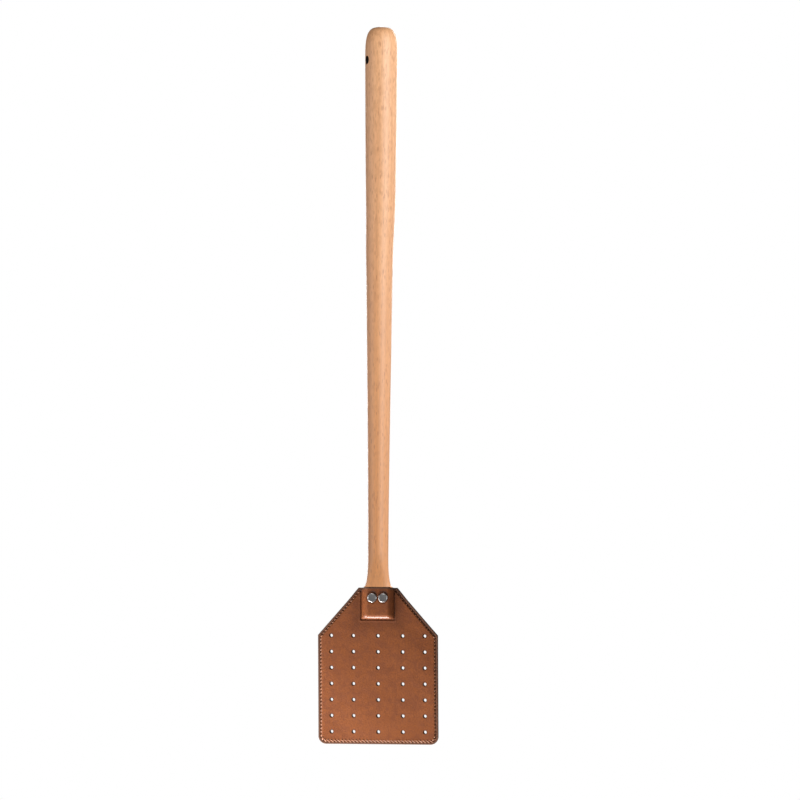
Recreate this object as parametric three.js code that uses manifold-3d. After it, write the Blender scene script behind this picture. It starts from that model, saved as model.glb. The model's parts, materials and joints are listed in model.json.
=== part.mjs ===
// Leather fly swatter: a beech handle whose flattened tang is riveted between two stitched leather plies.
// Units are millimetres. +Z runs up the handle, -Y is the front, and the origin is the hanging hole's centre.
// Each ply and each thread is one piece on the real swatter. Here it is cut at the flex line, so that the
// leather's bending can be a hinge between a neck, which stays with the handle, and a flap, which swings.
import * as THREE from "three";
import { mergeVertices } from "three/addons/utils/BufferGeometryUtils.js";
import Module from "manifold-3d";

const wasm = await Module();
wasm.setup();

// ---------------------------------------------------------------- driving dimensions

const TOTAL_LENGTH = 495;
const CLEARANCE = 0.3; // left between any two pieces that lie against each other

// Handle
const HOLE_BELOW_CROWN = 23;
const HANGING_HOLE_RADIUS = 2.6;
const HANGING_HOLE_TURN = THREE.MathUtils.degToRad(-62); // of the hole's axis about Z, away from +Y
const GRIP_RADIUS = 11.2;
const SHAFT_RADIUS = 7;
const CROWN_POWER = 3.6; // superellipse exponent of the rounded top end
const TAPER_KNOTS = [
  // radius and height, from the grip down to the shaft
  [10.95, -28],
  [10.65, -68],
  [10.25, -97],
  [9.6, -124],
  [9.1, -146],
  [8.5, -194],
  [7.9, -237],
  [7.4, -280],
  [7.08, -317],
];
const GRIP_OFFSET = 0.7; // the grip's centre line lies this far to the right of the shaft's
const GRIP_STEP = { from: -137, to: -97 }; // where that offset comes in

// Tang
const TANG_WIDTH = 19.4;
const TANG_THICKNESS = 8;
const TANG_CORNER = 3;
const TANG_END_ROUND = 1;
const TANG_SQUARENESS = 3.2; // superellipse exponent of its section
const COVE_LENGTH = 18; // over which the shaft widens into the tang
const FLATTENING_LENGTH = 24; // over which its section turns from round into the tang's

// Leather head
const PLY = 1.6;
const HEAD_WIDTH = 83;
const HEAD_HEIGHT = 107.5;
const HEAD_TOP_WIDTH = 26.9;
const SHOULDER_DROP = 32.3;
const CORNER_RADIUS = 5.5;
const POCKET_DROP = 21.1; // from the plies' top edge to the pocket's outer bottom
const LIP_RISE = 1.3; // the pocket's lip stands above the plies' top edge

// Punched air holes
const PUNCH_RADIUS = 1.25;
const ROWS = 7;
const ROW_PITCH = 11.05;
const LAST_ROW_ABOVE_BOTTOM = 8.6;
const INNER_COLUMN = 17.05;
const OUTER_COLUMN = 32.3;
const COLUMNS = [-OUTER_COLUMN, -INNER_COLUMN, 0, INNER_COLUMN, OUTER_COLUMN];

// Seam
const SEAM_INSET = 2.3;
const THREAD_WIDTH = 0.7;
const THREAD_BEVEL = 0.2;
const THREAD_RECESS = 0.05;

// Rivets
const RIVET_SPACING = 7.5;
const RIVET_BELOW_TOP = 6.2;
const RIVET_HEAD_RADIUS = 3.2;
const RIVET_HEAD_HEIGHT = 1.2;
const RIVET_RIM = 0.5;
const RIVET_SHANK_RADIUS = 1.45;
const RIVET_SEAT = 0.1; // gap under each head
const CAP_SOCKET_DEPTH = 0.8;

// Facets
const ARC_SEGMENTS = 5; // a circle in a shape is drawn with twice this many sides
const HANDLE_SIDES = 32;
const HANGING_HOLE_SIDES = 20;
const RIVET_SIDES = 20;
const CROWN_RINGS = 9;
const TAPER_RINGS = 20;
const COVE_RINGS = 8;

// ---------------------------------------------------------------- levels that follow from them

const CROWN = HOLE_BELOW_CROWN;
const HEAD_BOTTOM = CROWN - TOTAL_LENGTH;
const HEAD_TOP = HEAD_BOTTOM + HEAD_HEIGHT;
const LIP = HEAD_TOP + LIP_RISE;
const TANG_END = HEAD_TOP - POCKET_DROP + PLY + CLEARANCE;
const COVE_END = LIP; // the shaft reaches the tang's width where it enters the leather
const COVE_START = COVE_END + COVE_LENGTH;
const PLY_INNER = CLEARANCE / 2; // distances of a ply's two faces from the mid-plane
const PLY_OUTER = PLY_INNER + PLY;
const FIRST_ROW = HEAD_BOTTOM + LAST_ROW_ABOVE_BOTTOM + (ROWS - 1) * ROW_PITCH;
const FLEX_LINE = FIRST_ROW - ROW_PITCH / 2;
const NECK_BOTTOM = FLEX_LINE + PLY_OUTER + CLEARANCE;
const PLATEAU = TANG_THICKNESS / 2 + CLEARANCE + PLY; // the pocket's outer face from the mid-plane
const RIVET_LEVEL = HEAD_TOP - RIVET_BELOW_TOP;
const WIDE = 100; // longer than anything it cuts

// ---------------------------------------------------------------- joining and cutting

function solidOf(geometry) {
  const bare = geometry.index ? geometry.toNonIndexed() : geometry.clone();
  bare.deleteAttribute("normal");
  bare.deleteAttribute("uv");
  const merged = mergeVertices(bare, 1e-4);
  return new wasm.Manifold(
    new wasm.Mesh({
      numProp: 3,
      vertProperties: merged.attributes.position.array,
      triVerts: new Uint32Array(merged.index.array),
    }),
  );
}

function geometryOf(solid) {
  const mesh = solid.getMesh();
  const geometry = new THREE.BufferGeometry();
  geometry.setAttribute("position", new THREE.BufferAttribute(mesh.vertProperties, 3));
  geometry.setIndex(new THREE.BufferAttribute(mesh.triVerts, 1));
  geometry.computeVertexNormals();
  return geometry;
}

// A box from one corner to the other.
function boxSolid(low, high) {
  const size = new THREE.Vector3().subVectors(high, low);
  const box = new THREE.BoxGeometry(size.x, size.y, size.z);
  return solidOf(box.translate(low.x + size.x / 2, low.y + size.y / 2, low.z + size.z / 2));
}

// Everything between two heights.
function between(low, high) {
  return boxSolid(new THREE.Vector3(-WIDE, -WIDE, low), new THREE.Vector3(WIDE, WIDE, high));
}

// A shape drawn in (x, z), filling the space from near to far, both counted from the mid-plane to the front.
function sheetSolid(shape, near, far, bevel = 0) {
  const geometry = new THREE.ExtrudeGeometry(shape, {
    depth: far - near - 2 * bevel,
    curveSegments: ARC_SEGMENTS,
    bevelEnabled: bevel > 0,
    bevelSegments: 1,
    bevelThickness: bevel,
    bevelSize: bevel,
    bevelOffset: -bevel,
  });
  return solidOf(geometry.translate(0, 0, near + bevel).rotateX(Math.PI / 2));
}

// A shape drawn in (y, z), extruded along X to both sides.
function sidewaysSolid(shape) {
  const geometry = new THREE.ExtrudeGeometry(shape, {
    depth: 2 * WIDE,
    curveSegments: ARC_SEGMENTS,
    bevelEnabled: false,
  });
  const turn = new THREE.Matrix4().makeBasis(
    new THREE.Vector3(0, 1, 0),
    new THREE.Vector3(0, 0, 1),
    new THREE.Vector3(1, 0, 0),
  );
  return solidOf(geometry.translate(0, 0, -WIDE).applyMatrix4(turn));
}

// A round bar along Y through (x, z).
function rodAlongY(radius, x, z) {
  const bar = new THREE.CylinderGeometry(radius, radius, WIDE, 2 * ARC_SEGMENTS);
  return solidOf(bar.translate(x, 0, z));
}

// ---------------------------------------------------------------- handle

// The handle's outline seen from the front, from the crown down, as half-width and height.
function handleProfile() {
  const profile = [new THREE.Vector2(0, CROWN)];
  for (let i = 1; i < CROWN_RINGS; i++) {
    const turn = (i / CROWN_RINGS) * (Math.PI / 2);
    const radius = GRIP_RADIUS * Math.sin(turn) ** (2 / CROWN_POWER);
    profile.push(new THREE.Vector2(radius, CROWN * Math.cos(turn) ** (2 / CROWN_POWER)));
  }
  const taper = new THREE.SplineCurve([
    new THREE.Vector2(GRIP_RADIUS, 0),
    ...TAPER_KNOTS.map(([radius, height]) => new THREE.Vector2(radius, height)),
    new THREE.Vector2(SHAFT_RADIUS, COVE_START),
  ]);
  profile.push(...taper.getPoints(TAPER_RINGS));
  const flare = TANG_WIDTH / 2 - SHAFT_RADIUS;
  for (let i = 1; i <= COVE_RINGS; i++) {
    const turn = (i / COVE_RINGS) * (Math.PI / 2);
    const radius = SHAFT_RADIUS + flare * (1 - Math.cos(turn));
    profile.push(new THREE.Vector2(radius, COVE_START - COVE_LENGTH * Math.sin(turn)));
  }
  const foot = TANG_END - 2 * TANG_END_ROUND; // below the tang's end, which is cut off later
  profile.push(new THREE.Vector2(TANG_WIDTH / 2, foot), new THREE.Vector2(0, foot));
  return profile;
}

// The handle before any cut. Its round section flattens near the leather into the tang's superellipse.
function handleBlank() {
  const blank = new THREE.LatheGeometry(handleProfile().reverse(), HANDLE_SIDES).rotateX(Math.PI / 2);
  const position = blank.attributes.position;
  const ring = new THREE.Vector2();
  for (let i = 0; i < position.count; i++) {
    const height = position.getZ(i);
    ring.set(position.getX(i), position.getY(i));
    const flat = 1 - THREE.MathUtils.smoothstep(height, LIP, LIP + FLATTENING_LENGTH);
    const power = 2 / THREE.MathUtils.lerp(2, TANG_SQUARENESS, flat);
    const halfWidth = ring.length();
    const halfThickness = THREE.MathUtils.lerp(halfWidth, TANG_THICKNESS / 2, flat);
    const along = ring.normalize();
    const offset = GRIP_OFFSET * THREE.MathUtils.smoothstep(height, GRIP_STEP.from, GRIP_STEP.to);
    position.setX(i, offset + halfWidth * Math.sign(along.x) * Math.abs(along.x) ** power);
    position.setY(i, halfThickness * Math.sign(along.y) * Math.abs(along.y) ** power);
  }
  return solidOf(blank);
}

// The tang's block, grown by a margin on every side: the tang itself, or the inside or outside of its pocket.
function tangBlock(margin) {
  const halfWidth = TANG_WIDTH / 2 + margin;
  const halfThickness = TANG_THICKNESS / 2 + margin;
  const corner = TANG_CORNER + margin;
  const x = halfWidth - corner;
  const y = halfThickness - corner;
  const section = new THREE.Shape();
  section.absarc(x, y, corner, 0, Math.PI / 2);
  section.absarc(-x, y, corner, Math.PI / 2, Math.PI);
  section.absarc(-x, -y, corner, Math.PI, 1.5 * Math.PI);
  section.absarc(x, -y, corner, 1.5 * Math.PI, 2 * Math.PI);
  section.closePath();
  const round = TANG_END_ROUND + margin;
  const low = TANG_END - margin;
  const high = COVE_START + round; // well above the lip, so its upper end shapes nothing
  const block = new THREE.ExtrudeGeometry(section, {
    depth: high - low - 2 * round,
    curveSegments: ARC_SEGMENTS - 1,
    bevelSegments: 2,
    bevelThickness: round,
    bevelSize: round,
    bevelOffset: -round,
  });
  return solidOf(block.translate(0, 0, low + round));
}

function hangingHole() {
  const bar = new THREE.CylinderGeometry(HANGING_HOLE_RADIUS, HANGING_HOLE_RADIUS, WIDE, HANGING_HOLE_SIDES);
  return solidOf(bar.rotateZ(HANGING_HOLE_TURN));
}

function handleSolid() {
  const blank = handleBlank();
  const shaft = blank.intersect(between(LIP + CLEARANCE, CROWN + 1));
  const tang = blank.intersect(tangBlock(0));
  return shaft.add(tang).subtract(hangingHole()).subtract(rivetHoles());
}

// ---------------------------------------------------------------- leather plies and seam

// The head's outline moved inwards by an inset, anticlockwise from the right end of its top edge.
function headOutline(inset, PathType = THREE.Shape) {
  const half = HEAD_WIDTH / 2 - inset;
  const slope = new THREE.Vector2(HEAD_WIDTH / 2 - HEAD_TOP_WIDTH / 2, SHOULDER_DROP).normalize();
  const shoulderShift = (inset * (1 - slope.y)) / slope.x;
  const topShift = (inset * (1 - slope.x)) / slope.y;
  const topHalf = HEAD_TOP_WIDTH / 2 - topShift;
  const shoulder = HEAD_TOP - SHOULDER_DROP - shoulderShift;
  const bottom = HEAD_BOTTOM + inset;
  const radius = CORNER_RADIUS - inset;
  const outline = new PathType();
  outline.moveTo(topHalf, HEAD_TOP - inset);
  outline.lineTo(-topHalf, HEAD_TOP - inset);
  outline.lineTo(-half, shoulder);
  outline.absarc(-half + radius, bottom + radius, radius, Math.PI, 1.5 * Math.PI);
  outline.absarc(half - radius, bottom + radius, radius, 1.5 * Math.PI, 2 * Math.PI);
  outline.lineTo(half, shoulder);
  outline.closePath();
  return outline;
}

function rivetCentres() {
  return [-RIVET_SPACING / 2, RIVET_SPACING / 2];
}

function rivetHoles() {
  const [left, right] = rivetCentres().map((x) =>
    rodAlongY(RIVET_SHANK_RADIUS + CLEARANCE, x, RIVET_LEVEL),
  );
  return left.add(right);
}

// The band that the seam takes up, open at the top where the tang's pocket is.
function seamBand(width, near, far, bevel) {
  const band = headOutline(SEAM_INSET - width / 2);
  band.holes.push(headOutline(SEAM_INSET + width / 2, THREE.Path));
  const pocketHalf = TANG_WIDTH / 2 + PLY + 2 * CLEARANCE;
  const gap = boxSolid(
    new THREE.Vector3(-pocketHalf, -WIDE, HEAD_TOP - SHOULDER_DROP),
    new THREE.Vector3(pocketHalf, WIDE, HEAD_TOP + 1),
  );
  return sheetSolid(band, near, far, bevel).subtract(gap);
}

// The whole front ply: flat, with punched holes, a moulded pocket for the tang and a groove for the seam.
function plySolid() {
  const outline = headOutline(0);
  for (const x of COLUMNS) {
    for (let row = 0; row < ROWS; row++) {
      const hole = new THREE.Path();
      hole.absarc(x, FIRST_ROW - row * ROW_PITCH, PUNCH_RADIUS, 0, 2 * Math.PI, true);
      outline.holes.push(hole);
    }
  }
  const frontHalf = boxSolid(
    new THREE.Vector3(-WIDE, -WIDE, HEAD_BOTTOM - 1),
    new THREE.Vector3(WIDE, -PLY_INNER, LIP),
  );
  const pocket = tangBlock(CLEARANCE + PLY).intersect(frontHalf);
  const groove = seamBand(
    THREAD_WIDTH + 2 * CLEARANCE,
    PLY_OUTER - THREAD_RECESS - THREAD_WIDTH - CLEARANCE,
    PLY_OUTER + 1,
  );
  return sheetSolid(outline, PLY_INNER, PLY_OUTER)
    .add(pocket)
    .subtract(tangBlock(CLEARANCE))
    .subtract(groove)
    .subtract(rivetHoles());
}

// What belongs to the flap: everything below the flex line, with a half-round top edge centred on it.
function flapEnvelope() {
  const section = new THREE.Shape();
  section.absarc(0, FLEX_LINE, PLY_OUTER, 0, Math.PI);
  section.lineTo(-PLY_OUTER, HEAD_BOTTOM - 1);
  section.lineTo(PLY_OUTER, HEAD_BOTTOM - 1);
  section.closePath();
  return sidewaysSolid(section);
}

// A front piece cut into its neck and its flap.
function cutAtFlexLine(whole) {
  return {
    neck: whole.intersect(between(NECK_BOTTOM, LIP + 1)),
    flap: whole.intersect(flapEnvelope()),
  };
}

function threadSolid() {
  const far = PLY_OUTER - THREAD_RECESS;
  return seamBand(THREAD_WIDTH, far - THREAD_WIDTH, far, THREAD_BEVEL);
}

// ---------------------------------------------------------------- rivets

// A rivet's head with a bevelled rim, then a shank that passes through the leather and the tang.
function rivetPost() {
  const seat = -PLATEAU - RIVET_SEAT;
  const crown = seat - RIVET_HEAD_HEIGHT;
  const tip = PLATEAU + CAP_SOCKET_DEPTH;
  const profile = [
    new THREE.Vector2(0, crown),
    new THREE.Vector2(RIVET_HEAD_RADIUS - RIVET_RIM, crown),
    new THREE.Vector2(RIVET_HEAD_RADIUS, crown + RIVET_RIM),
    new THREE.Vector2(RIVET_HEAD_RADIUS, seat),
    new THREE.Vector2(RIVET_SHANK_RADIUS, seat),
    new THREE.Vector2(RIVET_SHANK_RADIUS, tip),
    new THREE.Vector2(0, tip),
  ];
  return new THREE.LatheGeometry(profile, RIVET_SIDES);
}

// The cap that is pressed onto the shank's tip at the back.
function rivetCap() {
  const seat = PLATEAU + RIVET_SEAT;
  const crown = seat + RIVET_HEAD_HEIGHT;
  const socket = RIVET_SHANK_RADIUS + RIVET_SEAT;
  const profile = [
    new THREE.Vector2(0, seat + CAP_SOCKET_DEPTH),
    new THREE.Vector2(socket, seat + CAP_SOCKET_DEPTH),
    new THREE.Vector2(socket, seat),
    new THREE.Vector2(RIVET_HEAD_RADIUS, seat),
    new THREE.Vector2(RIVET_HEAD_RADIUS, crown - RIVET_RIM),
    new THREE.Vector2(RIVET_HEAD_RADIUS - RIVET_RIM, crown),
    new THREE.Vector2(0, crown),
  ];
  return new THREE.LatheGeometry(profile, RIVET_SIDES);
}

// ---------------------------------------------------------------- materials

const beech = new THREE.MeshStandardMaterial({ color: 0xe2b184, roughness: 0.45, metalness: 0 });
const leather = new THREE.MeshStandardMaterial({ color: 0x8f5638, roughness: 0.5, metalness: 0 });
const thread = new THREE.MeshStandardMaterial({ color: 0x9c5f3e, roughness: 0.6, metalness: 0 });
const nickel = new THREE.MeshStandardMaterial({ color: 0xb9b6b2, roughness: 0.25, metalness: 1 });

// ---------------------------------------------------------------- assembly

const swatter = new THREE.Group();

function addPiece(name, geometry, material, parent = swatter) {
  const mesh = new THREE.Mesh(geometry, material);
  mesh.name = name;
  parent.add(mesh);
  return mesh;
}

addPiece("handle", geometryOf(handleSolid()), beech);

// The back ply and its thread are the front ones turned half round the handle's axis.
const back = new THREE.Group();
back.rotation.z = Math.PI;
swatter.add(back);

const ply = cutAtFlexLine(plySolid());
const seam = cutAtFlexLine(threadSolid());
const rightHalf = boxSolid(
  new THREE.Vector3(0, -WIDE, HEAD_BOTTOM - 1),
  new THREE.Vector3(WIDE, WIDE, CROWN),
);
const shoulderSeams = { right: seam.neck.intersect(rightHalf), left: seam.neck.subtract(rightHalf) };

addPiece("front_leather_neck", geometryOf(ply.neck), leather);
addPiece("front_leather_flap", geometryOf(ply.flap), leather);
addPiece("back_leather_neck", geometryOf(ply.neck), leather, back);
addPiece("back_leather_flap", geometryOf(ply.flap), leather, back);

addPiece("needle_thread_left", geometryOf(shoulderSeams.left), thread);
addPiece("needle_thread_right", geometryOf(shoulderSeams.right), thread);
addPiece("needle_thread_flap", geometryOf(seam.flap), thread);
addPiece("bobbin_thread_left", geometryOf(shoulderSeams.right), thread, back);
addPiece("bobbin_thread_right", geometryOf(shoulderSeams.left), thread, back);
addPiece("bobbin_thread_flap", geometryOf(seam.flap), thread, back);

const [leftRivet, rightRivet] = rivetCentres();
for (const [side, x] of [["left", leftRivet], ["right", rightRivet]]) {
  addPiece(`${side}_rivet_post`, rivetPost(), nickel).position.set(x, 0, RIVET_LEVEL);
  addPiece(`${side}_rivet_cap`, rivetCap(), nickel).position.set(x, 0, RIVET_LEVEL);
}

export default swatter;
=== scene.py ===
"""Looks of the leather fly swatter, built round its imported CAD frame.

Shapes are worked out in millimetres and scaled to metres once, in mesh_object(). -Y is the front.
"""
import json
import math

import bmesh
import bpy
import numpy as np
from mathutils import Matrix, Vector, noise
from mathutils.geometry import delaunay_2d_cdt


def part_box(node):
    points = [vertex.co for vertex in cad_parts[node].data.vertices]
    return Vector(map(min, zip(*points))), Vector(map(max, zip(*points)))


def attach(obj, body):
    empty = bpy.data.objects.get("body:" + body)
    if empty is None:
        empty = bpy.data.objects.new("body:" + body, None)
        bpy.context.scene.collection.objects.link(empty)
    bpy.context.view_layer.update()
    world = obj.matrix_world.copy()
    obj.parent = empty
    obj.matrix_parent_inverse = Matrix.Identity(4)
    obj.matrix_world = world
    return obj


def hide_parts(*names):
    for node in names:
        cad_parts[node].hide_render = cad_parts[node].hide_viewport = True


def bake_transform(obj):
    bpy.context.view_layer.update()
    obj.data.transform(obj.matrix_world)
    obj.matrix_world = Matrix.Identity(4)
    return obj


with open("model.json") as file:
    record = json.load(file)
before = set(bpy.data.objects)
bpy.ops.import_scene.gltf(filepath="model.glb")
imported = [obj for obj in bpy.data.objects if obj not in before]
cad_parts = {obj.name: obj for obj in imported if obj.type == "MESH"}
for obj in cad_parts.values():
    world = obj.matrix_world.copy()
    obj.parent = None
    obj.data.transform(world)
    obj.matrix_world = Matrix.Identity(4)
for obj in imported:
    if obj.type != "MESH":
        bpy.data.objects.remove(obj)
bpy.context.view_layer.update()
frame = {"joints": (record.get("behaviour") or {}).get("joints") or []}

MM = 0.001


def box_mm(node):
    """The lowest and highest corner of a CAD node, in millimetres."""
    low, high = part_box(node)
    return low / MM, high / MM


# ------------------------------------------------------------------ sizes read from the frame

HINGE = Vector(frame["joints"][0]["pos_m"]) / MM
handle_low, handle_high = box_mm("handle")
neck_low, neck_high = box_mm("front_leather_neck")
flap_low, flap_high = box_mm("front_leather_flap")

CROWN = handle_high.z
TANG_END = handle_low.z
GRIP_RADIUS = (handle_high.y - handle_low.y) / 2
LIP = neck_high.z
PLATEAU = -neck_low.y
HEAD_BOTTOM = flap_low.z
HEAD_HALF = flap_high.x
PLY_OUTER = -flap_low.y

# ------------------------------------------------------------------ other sizes, in millimetres

# Handle: half-width at each height, from the grip down to the shaft
TAPER = [
    (GRIP_RADIUS, 0),
    (10.95, -28),
    (10.65, -68),
    (10.25, -97),
    (9.6, -124),
    (9.1, -146),
    (8.5, -194),
    (7.9, -237),
    (7.4, -280),
    (7.08, -317),
    (7.0, -345),
]
CROWN_POWER = 3.6
GRIP_OFFSET = 0.7
GRIP_STEP = (-137, -97)
TANG_HALF_WIDTH = 9.7
TANG_HALF_THICKNESS = 4
TANG_SQUARENESS = 3.2  # 2 is an ellipse, and more is squarer
TANG_END_ROUND = 1.2
TAPER_SMOOTHING = 12  # how far along the handle the taper's corners are blended
COVE_LENGTH = 18
FLATTENING_LENGTH = 24
HOLE_RADIUS = 2.6
HOLE_FLARE = 0.5
HOLE_FLARE_DEPTHS = (0.1, 0.9)  # below the grip's surface, where the flare starts and ends
HOLE_TURN = math.radians(28)  # of the hole's axis about Z, away from X

# Head
LIP_RISE = 1.3
LIP_RISE_ENDS = (7.8, 10.4)  # from the middle, where the lip starts and stops dropping
TOP_RISE = 0.5  # of the edge beside the lip
RISE_REACH = 9  # how far below the top edge the leather is drawn up with it
LEAN = 0.009  # sideways for each millimetre below the pocket
LONG_WAVE = 0.28
SHORT_WAVE = 0.1
WAVE_FADE = 22  # how far below the pocket the waves reach their full height
GRAIN_SIZE = 5
GRAIN_HEIGHT = 0.05
FINE_GRAIN_SIZE = 1.7
FINE_GRAIN_HEIGHT = 0.012
HEAD_TOP = LIP - LIP_RISE
HEAD_TOP_HALF = 13.45
SHOULDER_DROP = 32.3
CORNER_RADIUS = 5.5
PLY_GAP = 0.06
EDGE_ROUND = 0.28
COVE_START = LIP + COVE_LENGTH

# Moulded pocket over the tang
POCKET_HALF = 11.3
POCKET_BOTTOM = HEAD_TOP - 21.2
POCKET_RISE = PLATEAU - PLY_OUTER
POCKET_SIDE_SLOPE = 4.6
POCKET_SIDE_ROUND = 1.8  # 1 is a flat slope, and more rounds it into the flat top
POCKET_FOOT_SLOPE = 3.6
POCKET_FOOT_ROUND = 2.2
FOOT_STEP = 0.45  # share of the rise that is a steep step at the foot
FOOT_STEP_WIDTH = 0.45
POCKET_CREASE = 0.3  # depth of the groove at the foot of the pocket's walls
POCKET_SWELL = 0.14  # height of the leather pushed up beyond it

# Punched holes
ROWS = 7
ROW_PITCH = 11.05
FIRST_ROW = HINGE.z + ROW_PITCH / 2
COLUMNS = (-32.3, -17.05, 0, 17.05, 32.3)
PUNCH_RADIUS = 1.1
PUNCH_ROUND = 0.25
PUNCH_LEAN = 0.4  # sideways, from the front face to the back

# Seam
SEAM_INSET = 2.15
STITCH = 2.45
EDGE_STEP = 0.45  # the leather outside the seam is pressed this much thinner
STEP_START = -0.1  # from the seam, inwards
STEP_WIDTH = 0.75
SLOT_INSET = 1.8  # the groove just outside the stitches' middle, where shade is also painted
GROOVE_DEPTH = 0.25
GROOVE_WIDTH = 0.4
NEEDLE_DIMPLE = 0.34
NEEDLE_DIMPLE_WIDTH = 0.38
SEAM_END_GAP = 0.9  # between the pocket's side and the seam's end
PRESS_END_GAP = 0.5  # between the pocket's side and the leather that the seam draws in
BOTTOM_RUN = (3, 8)  # above the bottom edge, where the proud stitches start and stop sinking
THREAD_HALF_WIDTH = 0.43
THREAD_HALF_HEIGHT = 0.34
STRAND_DEPTH = 0.09  # share by which the thread's two twisted strands bulge
STITCH_SLANT = 0.8  # how far a stitch's ends stray to each side of the seam
STITCH_DIVE = 1.05  # how deep the thread goes between stitches
SIDE_SINK = 0.24  # how much deeper the thread lies up the sides than along the bottom
SIDE_SLANT = 0.4  # share of the slant that is left there

# Mesh of the plies
EDGE_SPACING = 0.55
EDGE_RINGS = (0.08, 0.2, 0.4, 0.65, 1.0, 1.4, 1.7, 1.95, 2.15, 2.3, 2.45, 2.65, 2.95, 3.4, 4.0)  # insets
HOLE_RINGS = (0.07, 0.18, 0.35, 0.7, 1.2)  # distances from a hole's edge
FACE_SPACING = 1.0
POCKET_SPACING = 0.5
POCKET_MARGIN = 3  # how far the finer points reach past the pocket
EDGE_MARGIN = 0.3  # between the last ring and the points of the open face

# Rivets
RIVET_FACE = 0.76  # share of the head's radius
RIVET_DISH = 0.12
RIVET_BEVEL = 0.14
RIVET_SEAT_GAP = 0.02
RIVET_HOLE = 1.75
RIVET_SHANK = 1.45
RIVET_SOCKET_GAP = 0.1
RIVET_SINK = 0.25
RIVET_SINK_ENDS = (2.8, 4.6)  # from the rivet's axis, where the sunk leather starts and stops rising
RIVET_SHADOW = 3.3  # radius of the dark ring in the leather round a rivet


# ------------------------------------------------------------------ mesh helpers


def mesh_object(name, points, faces, sharp=35):
    """A smooth-shaded mesh from points in millimetres, which also remembers where they are at rest."""
    points = np.asarray(points, float) * MM
    mesh = bpy.data.meshes.new(name)
    mesh.from_pydata(points.tolist(), [], [list(map(int, face)) for face in faces])
    grid = bmesh.new()
    grid.from_mesh(mesh)
    bmesh.ops.recalc_face_normals(grid, faces=grid.faces)
    grid.to_mesh(mesh)
    grid.free()
    mesh.shade_smooth()
    mesh.set_sharp_from_angle(angle=math.radians(sharp))
    rest = mesh.attributes.new("rest", "FLOAT_VECTOR", "POINT")
    rest.data.foreach_set("vector", points.astype(np.float32).ravel())
    obj = bpy.data.objects.new(name, mesh)
    bpy.context.scene.collection.objects.link(obj)
    return obj


def add_attribute(obj, name, values):
    attribute = obj.data.attributes.new(name, "FLOAT", "POINT")
    attribute.data.foreach_set("value", np.asarray(values, np.float32))


def loft(rings):
    """Points and faces of a tube through equal rings of points, with each end closed by a fan."""
    rings = [np.asarray(ring, float) for ring in rings]
    sides = len(rings[0])
    points = np.concatenate(rings)
    faces = []
    for i in range(len(rings) - 1):
        for j in range(sides):
            k = (j + 1) % sides
            faces.append((i * sides + j, i * sides + k, (i + 1) * sides + k, (i + 1) * sides + j))
    ends = np.array([rings[0].mean(0), rings[-1].mean(0)])
    first = len(points)
    last_ring = first - sides
    for j in range(sides):
        k = (j + 1) % sides
        faces.append((first, k, j))
        faces.append((first + 1, last_ring + j, last_ring + k))
    return np.concatenate([points, ends]), faces


def smoothstep(value, low, high):
    """0 up to low, 1 from high on, and a smooth rise between them."""
    t = np.clip((value - low) / (high - low), 0, 1)
    return t * t * (3 - 2 * t)


def bump(distance, width):
    """1 at no distance, falling away smoothly on both sides."""
    return np.exp(-((distance / width) ** 2))


# ------------------------------------------------------------------ handle


def handle_ring(z, half_width, sides=96):
    """The handle's section at one height: round, and flattening towards the tang."""
    flat = 1 - smoothstep(z, LIP, LIP + FLATTENING_LENGTH)
    power = 2 / (2 + (TANG_SQUARENESS - 2) * flat)
    if z > LIP:
        thickness = half_width + (TANG_HALF_THICKNESS - half_width) * flat
    else:
        thickness = TANG_HALF_THICKNESS * half_width / TANG_HALF_WIDTH
    offset = GRIP_OFFSET * smoothstep(z, *GRIP_STEP)
    turn = np.linspace(0, 2 * math.pi, sides, endpoint=False)
    c, s = np.cos(turn), np.sin(turn)
    x = offset + half_width * np.sign(c) * np.abs(c) ** power
    y = thickness * np.sign(s) * np.abs(s) ** power
    return np.stack([x, y, np.full(sides, z)], 1)


def crown_profile():
    """The blunt round top of the grip."""
    power = 2 / CROWN_POWER
    turns = np.linspace(0.04, math.pi / 2, 26)[:-1]
    return [(CROWN * math.cos(t) ** power, GRIP_RADIUS * math.sin(t) ** power) for t in turns]


def taper_profile():
    """The taper's straight stretches, with the corners between them blended away."""
    reach = 2 * TAPER_SMOOTHING
    knots = np.array(TAPER)[::-1]
    fine = np.arange(COVE_START - 40, 40, 1.0)
    radii = np.interp(fine, knots[:, 1], knots[:, 0])
    kernel = bump(np.arange(-reach, reach + 1), TAPER_SMOOTHING)
    radii = np.convolve(np.pad(radii, reach, mode="edge"), kernel / kernel.sum(), mode="valid")
    return [(z, float(np.interp(z, fine, radii))) for z in np.arange(0, COVE_START, -1.5)]


def cove_profile(shaft):
    """The hollow curve by which the shaft widens to the tang."""
    curve = []
    for t in np.linspace(0, math.pi / 2, 22)[1:]:
        widening = (TANG_HALF_WIDTH - shaft) * (1 - math.cos(t))
        curve.append((COVE_START - COVE_LENGTH * math.sin(t), shaft + widening))
    return curve


def tang_end_profile():
    """The rounded edge round the tang's end."""
    curve = []
    for z in np.linspace(TANG_END + TANG_END_ROUND, TANG_END, 5):
        down = (TANG_END + TANG_END_ROUND - z) / TANG_END_ROUND
        inwards = TANG_END_ROUND * (1 - math.sqrt(max(0, 1 - down**2)))
        curve.append((z, TANG_HALF_WIDTH - inwards))
    return curve


def handle_profile():
    """Heights and half-widths, from the crown down to the tang's end."""
    taper = taper_profile()
    shaft = taper[-1][1]
    return crown_profile() + taper + cove_profile(shaft) + tang_end_profile()


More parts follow.
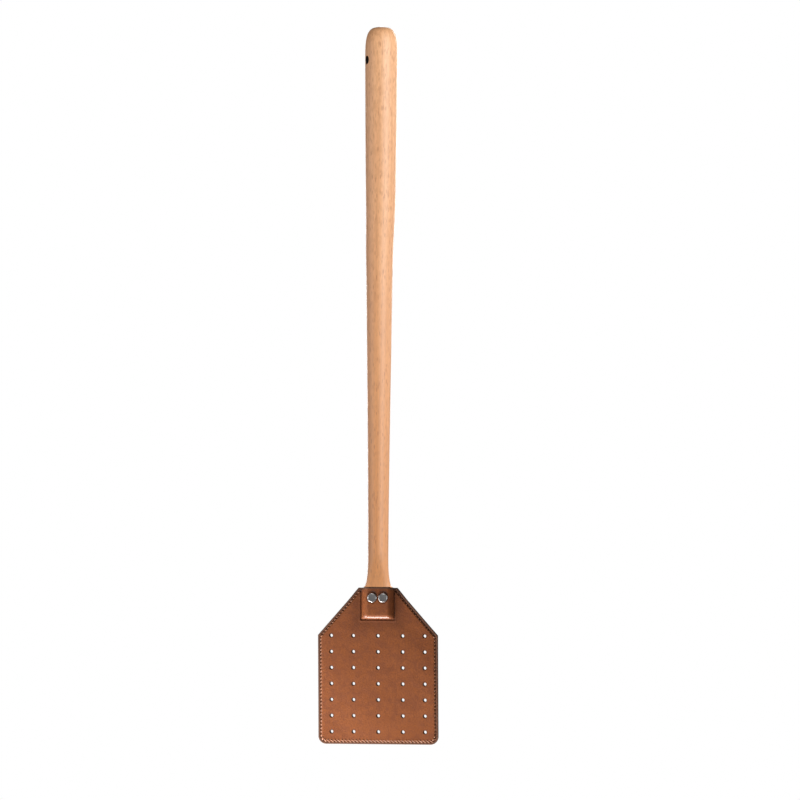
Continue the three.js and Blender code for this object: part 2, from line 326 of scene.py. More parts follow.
def spool_cutter():
    """A bar through the hanging hole that widens where it leaves the wood."""
    flare_start, flare_end = HOLE_FLARE_DEPTHS
    beyond_wood = (-14, 6)
    profile = [
        beyond_wood,
        (flare_start - GRIP_RADIUS, HOLE_RADIUS + HOLE_FLARE),
        (flare_end - GRIP_RADIUS, HOLE_RADIUS),
    ]
    profile += [(-along, radius) for along, radius in reversed(profile)]
    turn = np.linspace(0, 2 * math.pi, 48, endpoint=False)
    direction = np.array([math.cos(HOLE_TURN), math.sin(HOLE_TURN), 0])
    across = np.array([-direction[1], direction[0], 0])
    rings = []
    for along, radius in profile:
        ring = direction * along + np.outer(np.cos(turn), across) * radius
        ring[:, 2] += np.sin(turn) * radius
        ring[:, 0] += GRIP_OFFSET
        rings.append(ring)
    return mesh_object("hanging_hole_cutter", *loft(rings))


def make_handle():
    rings = [handle_ring(z, width) for z, width in handle_profile()]
    handle = mesh_object("beech_handle", *loft(rings))
    cutter = spool_cutter()
    cut = handle.modifiers.new("hanging_hole", "BOOLEAN")
    cut.operation = "DIFFERENCE"
    cut.solver = "EXACT"
    cut.object = cutter
    depsgraph = bpy.context.evaluated_depsgraph_get()
    mesh = bpy.data.meshes.new_from_object(handle.evaluated_get(depsgraph))
    handle.modifiers.clear()
    handle.data = mesh
    mesh.set_sharp_from_angle(angle=math.radians(35))
    bpy.data.objects.remove(cutter)
    return handle


# ------------------------------------------------------------------ leather plies


def slope_of_shoulder():
    """Direction of the head's sloping side, as its parts across and down."""
    return Vector((HEAD_HALF - HEAD_TOP_HALF, SHOULDER_DROP)).normalized()


def outline(inset):
    """The head's outline moved inwards, anticlockwise from its top left corner, as corner points."""
    slope = slope_of_shoulder()
    half = HEAD_HALF - inset
    shoulder = HEAD_TOP - SHOULDER_DROP - inset * (1 - slope.y) / slope.x
    top_half = HEAD_TOP_HALF - inset * (1 - slope.x) / slope.y
    radius = CORNER_RADIUS - inset
    left = [(-top_half, HEAD_TOP - inset), (-half, shoulder)]
    for turn in np.linspace(math.pi, 1.5 * math.pi, 13):
        corner_x = radius - half + radius * math.cos(turn)
        corner_z = HEAD_BOTTOM + CORNER_RADIUS + radius * math.sin(turn)
        left.append((corner_x, corner_z))
    return left + [(-x, z) for x, z in reversed(left)]


def resample(points, spacing, closed):
    """Points spaced about evenly along a line, keeping its corners."""
    points = [np.array(p, float) for p in points]
    if closed:
        points.append(points[0])
    made = []
    for a, b in zip(points, points[1:]):
        steps = max(1, round(float(np.linalg.norm(b - a)) / spacing))
        made += [a + (b - a) * i / steps for i in range(steps)]
    if not closed:
        made.append(points[-1])
    return np.array(made)


def edge_distance(x, z):
    """Distance inwards from the head's outline."""
    slope = slope_of_shoulder()
    across = np.abs(x)
    shoulder = slope.x * (HEAD_TOP - z) - slope.y * (across - HEAD_TOP_HALF)
    d = np.minimum.reduce([HEAD_HALF - across, z - HEAD_BOTTOM, HEAD_TOP - z, shoulder])
    corner_x = across - (HEAD_HALF - CORNER_RADIUS)
    corner_z = HEAD_BOTTOM + CORNER_RADIUS - z
    rounded = CORNER_RADIUS - np.hypot(corner_x, corner_z)
    return np.where((corner_x > 0) & (corner_z > 0), rounded, d)


def rivet_centres():
    """Where the rivets cross the head, as x and z."""
    centres = []
    for side in ("left", "right"):
        low, high = box_mm(f"{side}_rivet_post")
        centres.append(((low.x + high.x) / 2, (low.z + high.z) / 2))
    return centres


def punched_holes():
    """x, z and radius of the air holes and of the rivets' holes."""
    holes = [(x, FIRST_ROW - row * ROW_PITCH, PUNCH_RADIUS) for x in COLUMNS for row in range(ROWS)]
    return holes + [(x, z, RIVET_HOLE) for x, z in rivet_centres()]


def hole_distance(x, z):
    """Distance from the edge of the nearest hole, less than 0 inside it."""
    distances = [np.hypot(x - cx, z - cz) - radius for cx, cz, radius in punched_holes()]
    return np.minimum.reduce(distances)


def seam_line():
    """The seam from the pocket's left side, round the head, to its right side."""
    fine = resample(outline(SEAM_INSET), 0.05, closed=False)
    keep = (np.abs(fine[:, 0]) > POCKET_HALF + SEAM_END_GAP) | (fine[:, 1] < HINGE.z)
    return fine[keep]


def stitch_holes():
    """Where the needle went through, evenly spaced along the seam."""
    line = seam_line()
    along = np.concatenate([[0], np.cumsum(np.linalg.norm(np.diff(line, axis=0), axis=1))])
    count = round(along[-1] / STITCH)
    at = np.linspace(0, along[-1], count + 1)
    return np.stack([np.interp(at, along, line[:, 0]), np.interp(at, along, line[:, 1])], 1)


def flat_grid():
    """Points of the flat ply, and the triangles between them, leaving its holes open."""
    points = []
    edges = []

    def add_loop(loop):
        first = len(points)
        points.extend(Vector(p) for p in loop)
        edges.extend((first + i, first + (i + 1) % len(loop)) for i in range(len(loop)))

    add_loop(resample(outline(0), EDGE_SPACING, closed=True))
    for inset in EDGE_RINGS:
        points.extend(Vector(p) for p in resample(outline(inset), EDGE_SPACING, closed=True))
    turns = np.linspace(0, 2 * math.pi, 24, endpoint=False)
    circle = np.stack([np.cos(turns), np.sin(turns)], 1)
    for x, z, radius in punched_holes():
        add_loop(circle * radius + (x, z))
        for growth in HOLE_RINGS:
            points.extend(Vector(p) for p in circle * (radius + growth) + (x, z))
    for spacing, in_pocket in ((FACE_SPACING, False), (POCKET_SPACING, True)):
        xs = np.arange(-HEAD_HALF, HEAD_HALF, spacing)
        zs = np.arange(HEAD_BOTTOM, HEAD_TOP, spacing * 0.87)
        x, z = np.meshgrid(xs, zs)
        x = x + spacing / 2 * (np.arange(len(zs)) % 2)[:, None]
        near_pocket = outside_pocket(x, z) < POCKET_MARGIN
        clear_of_edge = edge_distance(x, z) > EDGE_RINGS[-1] + EDGE_MARGIN
        clear = clear_of_edge & (hole_distance(x, z) > HOLE_RINGS[-1] + EDGE_MARGIN)
        keep = clear & (near_pocket == in_pocket)
        points.extend(Vector(p) for p in zip(x[keep], z[keep]))

    places, _, triangles, *_ = delaunay_2d_cdt(points, edges, [], 0, 1e-5)
    flat = np.array([tuple(p) for p in places])
    triangles = np.array(triangles)
    middle = flat[triangles].mean(1)
    inside = (edge_distance(*middle.T) > 0) & (hole_distance(*middle.T) > 0)
    return flat, triangles[inside]


def pocket_height(x, z):
    """The moulded leather's rise: rounded sides, and a foot that steps up and then rounds over."""
    side = np.clip((POCKET_HALF - np.abs(x)) / POCKET_SIDE_SLOPE, 0, 1)
    foot = np.clip((z - POCKET_BOTTOM) / POCKET_FOOT_SLOPE, 0, 1)
    step = FOOT_STEP * smoothstep(z, POCKET_BOTTOM, POCKET_BOTTOM + FOOT_STEP_WIDTH)
    slope = (1 - FOOT_STEP) * (1 - (1 - foot) ** POCKET_FOOT_ROUND)
    return POCKET_RISE * (1 - (1 - side) ** POCKET_SIDE_ROUND) * (step + slope)


def outside_pocket(x, z):
    """Distance from the pocket's outline, more than 0 outside it."""
    return np.maximum(np.abs(x) - POCKET_HALF, POCKET_BOTTOM - z)


def seam_mask(x, z):
    """True where the edge is sewn, which is everywhere but over the tang."""
    return (np.abs(x) > POCKET_HALF + PRESS_END_GAP) | (z < HINGE.z)


def stitch_distance(x, z):
    holes = stitch_holes()
    return np.min(np.hypot(x[:, None] - holes[:, 0], z[:, None] - holes[:, 1]), axis=1)


def head_wave(x, z):
    """How far the leather bows below the pocket, both plies alike: a long wave and a short one."""
    free = 1 - smoothstep(z, POCKET_BOTTOM - WAVE_FADE, POCKET_BOTTOM)
    long_wave = LONG_WAVE * np.sin(x / 24 + 0.9) * np.sin(z / 29 + 0.4)
    short_wave = SHORT_WAVE * np.sin(x / 9.5 + z / 14)
    return (long_wave + short_wave) * free


def head_lean(z):
    """How far the head strays to the right of the handle's line."""
    return LEAN * np.maximum(POCKET_BOTTOM - z, 0)


def lip_lift(x, z):
    """How far the head's top edge is drawn up, most where it crosses the tang."""
    middle = 1 - smoothstep(np.abs(x), *LIP_RISE_ENDS)
    return (TOP_RISE + (LIP_RISE - TOP_RISE) * middle) * smoothstep(z, HEAD_TOP - RISE_REACH, HEAD_TOP)


def seam_press(x, z):
    """How far the seam draws the leather in: outside the stitches, and most in their groove."""
    d = edge_distance(x, z)
    pressed = 1 - smoothstep(d - SEAM_INSET, STEP_START, STEP_START + STEP_WIDTH)
    return (EDGE_STEP * pressed + GROOVE_DEPTH * bump(d - SLOT_INSET, GROOVE_WIDTH)) * seam_mask(x, z)


def unevenness(x, z, size, seed):
    """Smooth noise from about -1 to 1, with bumps of about the given size."""
    return np.array([noise.noise(Vector((a / size, b / size, seed))) for a, b in zip(x, z)])


def rounded_edge(distance, radius):
    """How far a rounded edge lies below the face, at a distance from the edge."""
    steepness = np.clip(1 - distance / radius, 0, 1)
    return radius * (1 - np.sqrt(1 - steepness**2))


def leather_height(x, z, seed):
    """Distance of the leather's outer face from the head's middle."""
    outside = outside_pocket(x, z)
    height = PLY_OUTER + pocket_height(x, z)
    height -= POCKET_CREASE * bump(outside - 0.1, 0.4)
    height += POCKET_SWELL * bump(outside - 1.1, 0.5)
    height -= seam_press(x, z)
    height -= NEEDLE_DIMPLE * bump(stitch_distance(x, z), NEEDLE_DIMPLE_WIDTH)
    height -= rounded_edge(edge_distance(x, z), EDGE_ROUND)
    height -= rounded_edge(hole_distance(x, z), PUNCH_ROUND)
    for cx, cz in rivet_centres():
        height -= RIVET_SINK * (1 - smoothstep(np.hypot(x - cx, z - cz), *RIVET_SINK_ENDS))
    height += GRAIN_HEIGHT * unevenness(x, z, GRAIN_SIZE, seed)
    return height + FINE_GRAIN_HEIGHT * unevenness(x, z, FINE_GRAIN_SIZE, seed + 9)


def punch_lean(x, z, y):
    """x, moved sideways near the air holes, because the punch leaned as it went through both plies."""
    near = bump(np.maximum(hole_distance(x, z), 0), 0.9) * (z < POCKET_BOTTOM)
    return x + PUNCH_LEAN * near * (y + PLY_OUTER) / (2 * PLY_OUTER)


def boundary_edges(triangles):
    """Directed edges that only one triangle has."""
    seen = set()
    for a, b, c in triangles.tolist():
        seen.update(((a, b), (b, c), (c, a)))
    return [(a, b) for a, b in seen if (b, a) not in seen]


def make_ply(name, facing, seed, grid):
    """One leather ply. facing is -1 for the front ply and 1 for the back one."""
    flat, triangles = grid
    x, z = flat.T
    outer = leather_height(x, z, seed)
    inner = PLY_GAP / 2 + pocket_height(x, z)
    lifted = z + lip_lift(x, z)
    wave = head_wave(x, z)
    lean = head_lean(z)
    faces_of_ply = [
        np.stack([punch_lean(x, z, facing * height) + lean, facing * height + wave, lifted], 1)
        for height in (outer, inner)
    ]
    count = len(flat)
    faces = [tuple(t) for t in triangles] + [tuple(t[::-1] + count) for t in triangles]
    faces += [(b, a, a + count, b + count) for a, b in boundary_edges(triangles)]
    ply = mesh_object(name, np.concatenate(faces_of_ply), faces)
    mark_wear_and_shade(ply, x, z)
    return ply


def painted_shade(x, z):
    """Painted shade on the leather, from 0 to 1 and a little over: a shadow line at the pocket's foot, a
    wider shade round the pocket, and darkening in the seam's groove, at the needle holes, round the air
    holes and round the rivets.
    """
    outside = outside_pocket(x, z)
    to_edge = edge_distance(x, z)
    near_pocket = bump(outside, 7) * smoothstep(outside, -0.5, 1)
    # Every mark here is painted shade, not a colour of the leather itself.
    marks = [
        bump(outside - 0.35, 0.7),
        0.5 * near_pocket,
        bump(to_edge - SLOT_INSET, 0.5) * seam_mask(x, z),
        1.1 * bump(stitch_distance(x, z), 0.42),
        1.25 * bump(np.maximum(hole_distance(x, z), 0), 0.4),
    ]
    marks += [bump(np.hypot(x - cx, z - cz) - RIVET_SHADOW, 0.5) for cx, cz in rivet_centres()]
    return np.maximum.reduce(marks)


def mark_wear_and_shade(ply, x, z):
    """Write the painted shade, and where the leather is burnished, polished and cut, for its outer and
    inner faces.
    """
    to_edge = edge_distance(x, z)
    painted_shade_amount = painted_shade(x, z)
    polished = bump(z - POCKET_BOTTOM - 1, 1.4) * (np.abs(x) < POCKET_HALF - 1)
    burnished = 1 - smoothstep(to_edge, 0.7, 1.7)
    cut = (np.minimum(to_edge, hole_distance(x, z)) < 0.01).astype(float)
    add_attribute(ply, "crease", np.concatenate([painted_shade_amount, np.zeros(len(x))]))
    add_attribute(ply, "burnish", np.concatenate([burnished, burnished]))
    add_attribute(ply, "polish", np.concatenate([polished, np.zeros(len(x))]))
    add_attribute(ply, "cut", np.concatenate([cut, np.ones(len(x))]))


# ------------------------------------------------------------------ threads


def at_bottom(z):
    """1 along the head's bottom edge, where the stitches stand proud, and 0 further up its sides."""
    return 1 - smoothstep(z - HEAD_BOTTOM, *BOTTOM_RUN)


def make_thread(name, facing, rings_per_stitch=14, sides=12):
    """One thread round the whole seam: over each stitch, then down to the middle between stitches."""
    holes = stitch_holes()
    share = np.linspace(0, 1, rings_per_stitch, endpoint=False)
    path = []
    for a, b in zip(holes, holes[1:]):
        along = b - a
        across = np.array([-along[1], along[0]]) / np.linalg.norm(along)
        reach = STITCH_SLANT * (SIDE_SLANT + (1 - SIDE_SLANT) * at_bottom(a[1]))
        slant = -facing * reach * np.cos(math.pi * share)
        path.append(a + share[:, None] * along + slant[:, None] * across)
    x, z = np.concatenate(path + [holes[-1:]]).T
    share = np.append(np.tile(share, len(holes) - 1), 1.0)
    rise = np.sin(math.pi * share) ** 0.4
    height = PLY_OUTER - seam_press(x, z) - STITCH_DIVE * (1 - rise) + THREAD_HALF_HEIGHT * 0.7 * rise
    height -= SIDE_SINK * (1 - at_bottom(z))
    centre = np.stack([x + head_lean(z), facing * height + head_wave(x, z), z + lip_lift(x, z)], 1)

    tangent = np.gradient(centre, axis=0)
    tangent /= np.linalg.norm(tangent, axis=1)[:, None]
    sideways = np.cross(tangent, (0, facing, 0))
    sideways /= np.linalg.norm(sideways, axis=1)[:, None]
    upwards = np.cross(sideways, tangent)
    length = np.concatenate([[0], np.cumsum(np.linalg.norm(np.diff(centre, axis=0), axis=1))])
    turn = np.linspace(0, 2 * math.pi, sides, endpoint=False)
    rings = []
    for i, point in enumerate(centre):
        strands = 1 + STRAND_DEPTH * np.cos(2 * turn - 2 * math.pi * length[i])
        wide = np.outer(THREAD_HALF_WIDTH * strands * np.cos(turn), sideways[i])
        high = np.outer(THREAD_HALF_HEIGHT * strands * np.sin(turn), upwards[i])
        rings.append(point + wide + high)
    return mesh_object(name, *loft(rings), sharp=80)


# ------------------------------------------------------------------ rivets


def turned_piece(name, profile, centre, wobble, sides=72):
    """A turned piece on an axis along Y. profile is (radius, y) from one end to the other."""
    turn = np.linspace(0, 2 * math.pi, sides, endpoint=False)
    rings = []
    for radius, y in profile:
        uneven = 1 + wobble * (np.sin(2 * turn + 0.7) + 0.6 * np.sin(5 * turn))
        x = centre[0] + radius * uneven * np.cos(turn)
        z = centre[1] + radius * uneven * np.sin(turn)
        rings.append(np.stack([x, np.full(sides, y), z], 1))
    return mesh_object(name, *loft(rings), sharp=50)


def head_curve(radius, seat, crown):
    """A rivet head's outline, from its middle outwards: a dished face, a bevel and a rounded edge."""
    way = math.copysign(1, crown - seat)
    height = abs(crown - seat)
    face = radius * RIVET_FACE
    bevel = face + RIVET_BEVEL
    curve = [
        (0.02, crown - way * RIVET_DISH),
        (face * 0.5, crown - way * 0.1),
        (face * 0.86, crown - way * 0.04),
        (face, crown),
        (bevel, crown - way * 0.02),
    ]
    for t in np.linspace(0.1, 1, 8):
        drop = height * 0.72 * t**1.7
        curve.append((bevel + (radius - bevel) * math.sin(t * math.pi / 2), crown - way * drop))
    curve += [(radius - 0.02, seat + way * 0.12), (radius - 0.14, seat)]
    return curve


def make_rivet(side, wobble):
    """The post with the front head and the shank, and the cap pressed onto it at the back."""
    low, high = box_mm(f"{side}_rivet_post")
    _, cap_high = box_mm(f"{side}_rivet_cap")
    centre = ((low.x + high.x) / 2, (low.z + high.z) / 2)
    radius = (high.x - low.x) / 2
    seat = PLATEAU - RIVET_SINK + RIVET_SEAT_GAP
    post = head_curve(radius, -seat, low.y)
    post += [(RIVET_SHANK + 0.1, -seat), (RIVET_SHANK, -seat + 0.1), (RIVET_SHANK, high.y), (0.02, high.y)]
    cap = head_curve(radius, seat, cap_high.y)
    socket = RIVET_SHANK + RIVET_SOCKET_GAP
    socket_end = high.y + RIVET_SOCKET_GAP
    cap += [(socket, seat), (socket, socket_end), (0.02, socket_end)]
    return [
        turned_piece(f"{side}_rivet_front", post, centre, wobble),
        turned_piece(f"{side}_rivet_back", cap, centre, wobble),
    ]


# ------------------------------------------------------------------ materials


class Shader:
    """A material with its output and its Principled shader, and short ways to add and join nodes."""

    def __init__(self, name, **settings):
        self.material = bpy.data.materials.new(name)
        self.material.use_nodes = True
        self.tree = self.material.node_tree
        self.surface = self.tree.nodes["Principled BSDF"]
        for socket, value in settings.items():
            self.surface.inputs[socket.replace("_", " ")].default_value = value

    def add(self, kind, inputs=None, **settings):
        node = self.tree.nodes.new(f"ShaderNode{kind}")
        for key, value in settings.items():
            setattr(node, key, value)
        for key, value in (inputs or {}).items():
            self.feed(node.inputs[key], value)
        return node

    def feed(self, socket, value):
        if isinstance(value, bpy.types.NodeSocket):
            self.tree.links.new(value, socket)
        else:
            socket.default_value = value

    def math(self, operation, a, b=0.0):
        node = self.add("Math", operation=operation)
        self.feed(node.inputs[0], a)
        self.feed(node.inputs[1], b)
        return node.outputs[0]

    def mix(self, factor, a, b):
        node = self.add("Mix", data_type="RGBA")
        self.feed(node.inputs[0], factor)
        self.feed(node.inputs[6], a)
        self.feed(node.inputs[7], b)
        return node.outputs[2]

    def ramp(self, value, low, high, low_out=0.0, high_out=1.0):
        node = self.add("MapRange", interpolation_type="SMOOTHSTEP")
        for key, number in enumerate((value, low, high, low_out, high_out)):
            self.feed(node.inputs[key], number)
        return node.outputs[0]

    def attribute(self, name, output="Fac"):
        return self.add("Attribute", attribute_name=name).outputs[output]

    def noise(self, vector, scale, detail=3.0, roughness=0.55):
        inputs = {"Vector": vector, "Scale": scale, "Detail": detail, "Roughness": roughness}
        return self.add("TexNoise", inputs).outputs[0]

    def scaled(self, vector, scale):
        return self.add("VectorMath", {0: vector, 1: scale}, operation="MULTIPLY").outputs[0]

    def bump(self, height, distance, strength):
        return self.add("Bump", {"Height": height, "Distance": distance, "Strength": strength}).outputs[0]


def hole_shadow(m, place):
    """1 on the wall of the hanging hole and 0 elsewhere."""
    axis = (math.cos(HOLE_TURN), math.sin(HOLE_TURN), 0)
    centred = m.add("VectorMath", {0: place, 1: (GRIP_OFFSET * MM, 0, 0)}, operation="SUBTRACT").outputs[0]
    across = m.add("VectorMath", {0: centred, 1: axis}, operation="CROSS_PRODUCT").outputs[0]
    distance = m.add("VectorMath", {0: across}, operation="LENGTH").outputs["Value"]
    return m.ramp(distance, (HOLE_RADIUS + 0.5) * MM, (HOLE_RADIUS + 0.1) * MM)


def beech():
    """Satin beech: straight fibres, faint growth rings and short dark flecks along the grain."""
    m = Shader("beech", Specular_IOR_Level=0.75, Coat_Weight=0.3, Coat_Roughness=0.55)
    place = m.add("TexCoord").outputs["Object"]
    long_grain = m.scaled(place, (1, 1, 0.045))
    warp = m.noise(m.scaled(place, (1, 1, 0.12)), 90, detail=2)
    along_trunk = m.scaled(place, (1, 1, 0.03))
    from_pith = m.add("VectorMath", {0: along_trunk, 1: (0.034, 0.05, 0.0)}, operation="DISTANCE")
    rings = m.math("MULTIPLY", from_pith.outputs["Value"], 420)
    rings = m.math("ADD", rings, m.math("MULTIPLY", warp, 1.6))
    late_wood = m.ramp(m.math("FRACT", rings), 0.55, 0.97)
    fibres = m.noise(long_grain, 2600, detail=4, roughness=0.65)
    streaks = m.noise(long_grain, 420, detail=3)
    tone = m.noise(m.scaled(place, (1, 1, 0.25)), 60, detail=2)
    ripple = m.noise(m.scaled(place, (1, 1, 0.3)), 560, detail=3, roughness=0.6)

    flecks = m.add("TexVoronoi", {"Vector": m.scaled(place, (1, 1, 0.24)), "Scale": 900.0})
    dash = m.ramp(flecks.outputs["Distance"], 0.52, 0.22)
    kept = m.add("SeparateColor", {0: flecks.outputs["Color"]}).outputs[0]
    dash = m.math("MULTIPLY", dash, m.ramp(kept, 0.3, 0.7))
    dash = m.math("MULTIPLY", dash, m.ramp(m.noise(place, 130), 0.36, 0.6, 0.35, 1.0))

    height = m.add("SeparateXYZ", {0: place}).outputs["Z"]
    # Painted light: paler towards the top of the handle and deeper towards the tang, standing in for the
    # light falling more strongly on the upper handle.
    colour = m.mix(m.ramp(height, -0.38, 0.02), (0.79, 0.34, 0.12, 1), (0.90, 0.50, 0.25, 1))
    colour = m.mix(m.ramp(tone, 0.3, 0.7, 0.25, 0), colour, (0.62, 0.27, 0.115, 1))
    colour = m.mix(m.ramp(streaks, 0.42, 0.72, 0, 0.3), colour, (0.60, 0.27, 0.115, 1))
    colour = m.mix(m.ramp(ripple, 0.44, 0.62, 0, 0.4), colour, (0.62, 0.29, 0.125, 1))
    colour = m.mix(m.math("MULTIPLY", late_wood, 0.22), colour, (0.50, 0.22, 0.095, 1))
    colour = m.mix(m.ramp(fibres, 0.35, 0.75, 0, 0.34), colour, (0.56, 0.27, 0.125, 1))
    colour = m.mix(m.math("MULTIPLY", dash, 0.62), colour, (0.46, 0.19, 0.08, 1))
    colour = m.mix(hole_shadow(m, place), colour, (0.012, 0.006, 0.004, 1))
    m.feed(m.surface.inputs["Base Color"], colour)
    m.feed(m.surface.inputs["Roughness"], m.ramp(fibres, 0.3, 0.8, 0.46, 0.6))
    relief = m.math("SUBTRACT", fibres, m.math("MULTIPLY", dash, 0.8))
    m.feed(m.surface.inputs["Normal"], m.bump(relief, 0.00004, 0.5))
    return m.material


def leather():
    """Smooth brown cowhide with a fine pebble grain, painted shade by its pocket, seam and holes, and
    burnished edges.
    """
    m = Shader("brown_leather", Specular_IOR_Level=0.22, Coat_Roughness=0.22)
    place = m.attribute("rest", "Vector")
    mottle = m.noise(place, 45, detail=4)
    cloud = m.noise(place, 260, detail=5, roughness=0.6)
    cells = m.add("TexVoronoi", {"Vector": place, "Scale": 1700.0}, feature="SMOOTH_F1")
    cells.inputs["Smoothness"].default_value = 0.35
    pores = m.add("TexVoronoi", {"Vector": place, "Scale": 900.0})
    pore = m.ramp(pores.outputs["Distance"], 0.16, 0.05)
    wrinkles = m.noise(m.scaled(place, (1.0, 1.0, 0.5)), 900, detail=3)
    speckle = m.noise(place, 1100, roughness=0.7)
    crease = m.attribute("crease")
    burnish = m.attribute("burnish")
    cut = m.attribute("cut")

    colour = m.mix(m.ramp(mottle, 0.3, 0.72), (0.295, 0.088, 0.027, 1), (0.345, 0.107, 0.033, 1))
    colour = m.mix(m.ramp(cloud, 0.4, 0.68, 0, 0.5), colour, (0.20, 0.06, 0.026, 1))
    colour = m.mix(m.ramp(speckle, 0.4, 0.62, 0, 0.5), colour, (0.19, 0.06, 0.028, 1))
    colour = m.mix(m.math("MULTIPLY", pore, 0.5), colour, (0.13, 0.04, 0.018, 1))
    colour = m.mix(m.math("MULTIPLY", burnish, 0.85), colour, (0.13, 0.075, 0.052, 1))
    # Painted shade: darker at the pocket's foot and round it, in the seam's groove, at the needle holes,
    # round the holes and round the rivets.
    colour = m.mix(m.math("MULTIPLY", crease, 0.8), colour, (0.05, 0.016, 0.008, 1))
    edge_tone = m.mix(m.noise(place, 700), (0.09, 0.042, 0.026, 1), (0.16, 0.08, 0.05, 1))
    colour = m.mix(cut, colour, edge_tone)
    m.feed(m.surface.inputs["Base Color"], colour)
    roughness = m.ramp(cloud, 0.3, 0.7, 0.4, 0.52)
    worn = m.math("MAXIMUM", cut, burnish)
    m.feed(m.surface.inputs["Roughness"], m.math("ADD", roughness, m.math("MULTIPLY", worn, 0.25)))
    shine = m.ramp(m.attribute("polish"), 0, 1, 0.03, 1.0)
    m.feed(m.surface.inputs["Coat Weight"], m.math("MULTIPLY", shine, m.math("SUBTRACT", 1.0, worn)))
    relief = m.math("SUBTRACT", cells.outputs["Distance"], m.math("MULTIPLY", pore, 0.5))
    relief = m.math("ADD", relief, m.math("MULTIPLY", wrinkles, 0.8))
    m.feed(m.surface.inputs["Normal"], m.bump(relief, 0.00009, 0.8))
    return m.material


def waxed_thread():
    """Tan waxed thread with fine fibres."""
    m = Shader("waxed_thread", Specular_IOR_Level=0.6, Sheen_Weight=0.1, Sheen_Roughness=0.4)
    place = m.attribute("rest", "Vector")
    fibre = m.noise(place, 5200, detail=3)
    tone = m.noise(place, 320)
    colour = m.mix(m.ramp(tone, 0.3, 0.7), (0.30, 0.11, 0.046, 1), (0.43, 0.175, 0.078, 1))
    colour = m.mix(m.ramp(fibre, 0.4, 0.7, 0, 0.4), colour, (0.2, 0.07, 0.03, 1))
    m.feed(m.surface.inputs["Base Color"], colour)
    m.feed(m.surface.inputs["Roughness"], m.ramp(fibre, 0.3, 0.7, 0.34, 0.5))
    m.feed(m.surface.inputs["Normal"], m.bump(fibre, 0.00004, 0.6))
    return m.material


def nickel():
    """Polished nickel plate with fine scratches and a little tarnish."""
    m = Shader("nickel_plate", Metallic=1.0)
    place = m.attribute("rest", "Vector")
    tarnish = m.noise(place, 900, detail=5, roughness=0.65)
    scratches = m.noise(m.scaled(place, (6, 1, 0.7)), 2200, detail=3)
    colour = m.mix(m.ramp(tarnish, 0.35, 0.72), (0.60, 0.585, 0.58, 1), (0.44, 0.42, 0.42, 1))
    m.feed(m.surface.inputs["Base Color"], colour)
    rough = m.math("ADD", m.ramp(tarnish, 0.3, 0.75, 0.24, 0.38), m.math("MULTIPLY", scratches, 0.08))
    m.feed(m.surface.inputs["Roughness"], rough)
    m.feed(m.surface.inputs["Normal"], m.bump(scratches, 0.00001, 0.35))
    return m.material


def paper():
    """Faintly mottled white, for the floor."""
    m = Shader("pale_floor", Roughness=0.9)
    place = m.add("TexCoord").outputs["Object"]
    colour = m.mix(m.noise(place, 12), (0.86, 0.86, 0.86, 1), (0.9, 0.9, 0.9, 1))
    m.feed(m.surface.inputs["Base Color"], colour)
    return m.material


# ------------------------------------------------------------------ camera, floor and lights

VIEW_WIDTH = 0.5522  # metres seen from side to side where the swatter is
LENS = 180
SENSOR = 36
AIM = Vector((0.0146, 0, -0.2343))
CAMERA_TURN = math.radians(3.5)  # about Z, which puts the camera to the right of straight in front
CAMERA_ROLL = math.radians(-0.25)  # about Y
FLOOR_RADIUS = 1.8
FLOOR_HEIGHT = -0.9
RIVET_LIGHTS_HEIGHT = -0.372


def make_camera():
    data = bpy.data.cameras.new("camera")
    data.lens = LENS
    data.sensor_width = SENSOR
    camera = bpy.data.objects.new("camera", data)
    bpy.context.scene.collection.objects.link(camera)
    distance = VIEW_WIDTH * LENS / SENSOR
    camera.location = AIM + distance * Vector((math.sin(CAMERA_TURN), -math.cos(CAMERA_TURN), 0))
    camera.rotation_euler = (math.radians(90), CAMERA_ROLL, CAMERA_TURN)
    bpy.context.scene.camera = camera


def make_floor():
    """A pale disc below the swatter, which neither lights it nor is mirrored in it."""
    sides = 96
    turn = np.linspace(0, 2 * math.pi, sides, endpoint=False)
    across = FLOOR_RADIUS * np.cos(turn)
    away = FLOOR_RADIUS * np.sin(turn)
    ring = np.stack([across, away, np.full(sides, FLOOR_HEIGHT)], 1) / MM
    floor = mesh_object("floor", ring, [range(sides)])
    floor.data.materials.append(paper())
    floor.visible_diffuse = False
    floor.visible_glossy = False
    return floor


def make_world(ambient=0.07, mirrored=0.16):
    """White behind the object, and a dimmer surround to light it."""
    world = bpy.data.worlds.new("studio")
    world.use_nodes = True
    bpy.context.scene.world = world
    tree = world.node_tree
    path = tree.nodes.new("ShaderNodeLightPath")
    glossy = tree.nodes.new("ShaderNodeMix")
    seen = tree.nodes.new("ShaderNodeMix")
    glossy.inputs[2].default_value = ambient
    glossy.inputs[3].default_value = mirrored
    seen.inputs[3].default_value = 1.0
    tree.links.new(path.outputs["Is Glossy Ray"], glossy.inputs[0])
    tree.links.new(glossy.outputs[0], seen.inputs[2])
    tree.links.new(path.outputs["Is Camera Ray"], seen.inputs[0])
    background = tree.nodes["Background"]
    background.inputs["Color"].default_value = (1, 1, 1, 1)
    tree.links.new(seen.outputs[0], background.inputs["Strength"])


def softbox(name, place, target, size, power, colour=(1, 1, 1), *, lit):
    """A square soft light that shines on the given pieces only."""
    data = bpy.data.lights.new(name, "AREA")
    data.shape = "SQUARE"
    data.size = size
    data.energy = power
    data.color = colour
    light = bpy.data.objects.new(name, data)
    bpy.context.scene.collection.objects.link(light)
    light.location = place
    light.rotation_euler = (Vector(target) - Vector(place)).to_track_quat("-Z", "Y").to_euler()
    light.visible_camera = False
    chosen = bpy.data.collections.new(f"{name}_lights")
    for piece in lit:
        chosen.objects.link(piece)
    light.light_linking.receiver_collection = chosen


# ------------------------------------------------------------------ assembly

bpy.context.scene.view_settings.view_transform = "Standard"
make_camera()
floor = make_floor()
make_world()

handle = make_handle()
handle.data.materials.append(beech())
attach(handle, "handle")
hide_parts("handle")

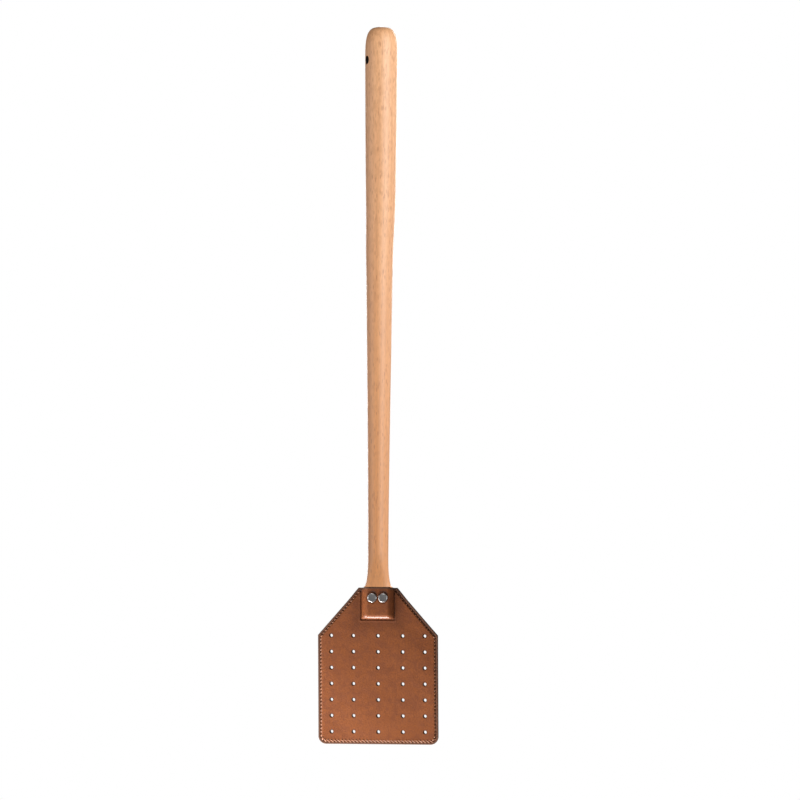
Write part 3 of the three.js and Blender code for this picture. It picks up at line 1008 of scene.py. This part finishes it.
grid = flat_grid()
front = make_ply("front_leather", -1, 3, grid)
back = make_ply("back_leather", 1, 14, grid)
needle = make_thread("needle_thread", -1)
bobbin = make_thread("bobbin_thread", 1)
leather_material = leather()
thread_material = waxed_thread()
for piece in (front, back):
    piece.data.materials.append(leather_material)
    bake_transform(piece)
    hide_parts(f"{piece.name}_neck", f"{piece.name}_flap")
for piece in (needle, bobbin):
    piece.data.materials.append(thread_material)
    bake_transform(piece)
    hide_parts(*(f"{piece.name}_{run}" for run in ("left", "right", "flap")))

rivets = []
metal = nickel()
for side, wobble in (("left", 0.002), ("right", 0.008)):
    for piece, node in zip(make_rivet(side, wobble), ("post", "cap")):
        piece.data.materials.append(metal)
        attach(piece, "handle")
        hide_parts(f"{side}_rivet_{node}")
        rivets.append(piece)

sewn_pieces = [front, back, needle, bobbin]
softbox("wood_key", (0.72, -0.85, 0.1), (0, 0, -0.15), 0.9, 16.2, lit=[handle])
softbox("wood_fill", (-1.0, -0.5, -0.2), (0, 0, -0.2), 0.8, 5.2, (1, 0.9, 0.82), lit=[handle])
softbox("head_key", (-0.18, -0.085, -0.56), (0, 0, -0.43), 0.18, 0.95, lit=sewn_pieces)
softbox("head_foot", (0, -0.06, -0.84), (0, 0, -0.38), 0.3, 4.3, lit=sewn_pieces)
softbox("head_sheen", (-0.3, -0.8, -0.75), (0, 0, -0.45), 0.3, 1.4, lit=[front])
for name, x, z, power in (
    ("above", 0, 0.3, 0.5),
    ("left", -0.3, 0, 0.7),
    ("right", 0.3, 0, 0.4),
    ("below", -0.12, -0.3, 3.8),
):
    place = (x, -0.05, z + RIVET_LIGHTS_HEIGHT)
    softbox(f"rivets_from_{name}", place, (0, 0, RIVET_LIGHTS_HEIGHT), 0.22, power, lit=rivets)
softbox("wood_rim_right", (0.9, 0.3, -0.15), (0, 0, -0.2), 0.7, 2.2, lit=[handle])
softbox("wood_rim_left", (-0.9, 0.25, -0.15), (0, 0, -0.2), 0.7, 1.1, lit=[handle])
softbox("wood_back_right", (0.2, 0.95, 0.15), (0, 0, -0.25), 0.6, 9, lit=[handle])
softbox("wood_back_left", (-0.25, 0.95, -0.35), (0, 0, -0.3), 0.6, 7, lit=[handle])
softbox("head_back", (-0.35, 0.8, -0.1), (0, 0, -0.43), 0.4, 5.5, lit=[*sewn_pieces, *rivets])
softbox("floor_light", (0, 0, 2.6), (0, 0, FLOOR_HEIGHT), 5, 330, lit=[floor])
